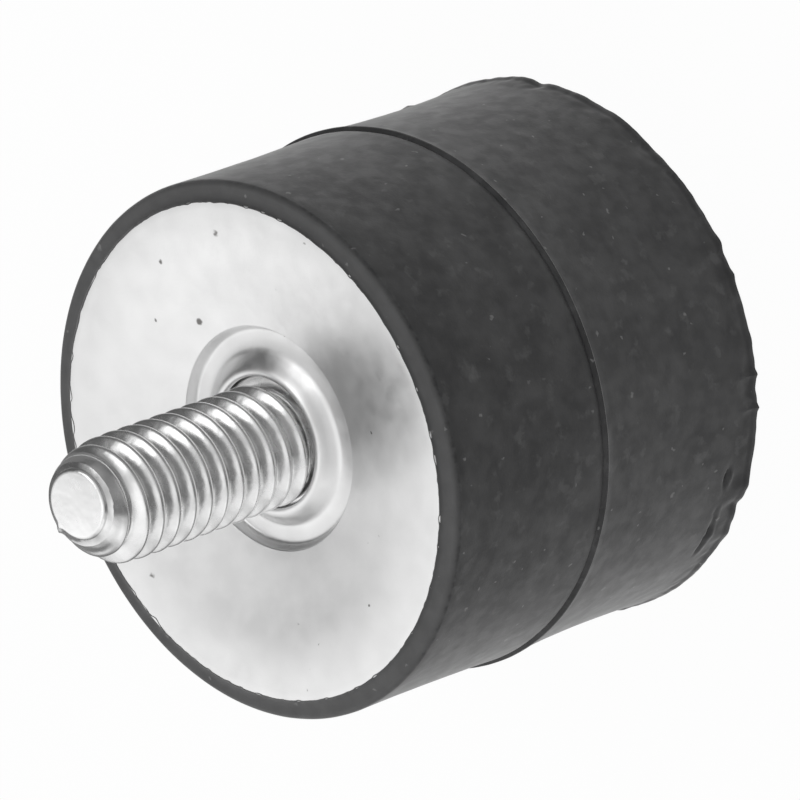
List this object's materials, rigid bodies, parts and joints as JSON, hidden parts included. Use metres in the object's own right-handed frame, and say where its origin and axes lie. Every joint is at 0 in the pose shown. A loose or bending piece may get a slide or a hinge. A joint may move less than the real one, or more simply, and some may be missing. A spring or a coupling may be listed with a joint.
{
  "type": "bobbin vibration mount",
  "caption": "Cylindrical rubber vibration mount bonded between two steel end plates, with a threaded stud on one end and a tapped bush in the other.",
  "frame": {"origin": "centre of the tapped end, on its flat face", "axes": "+Z along the mount's axis, from the tapped end to the stud"},
  "size_m": [0.0256, 0.0256, 0.0312],
  "materials": {
    "rubber": "moulded, matt, dusty",
    "plate_zinc": "zinc plated, satin, lightly pitted",
    "stud_zinc": "zinc plated, bright"
  },
  "bodies": {
    "root": {"rubber_body": "rubber", "stud_plate": "plate_zinc", "threaded_stud": "stud_zinc", "tapped_plate": "plate_zinc", "threaded_bush": "stud_zinc"}
  },
  "joints": []
}
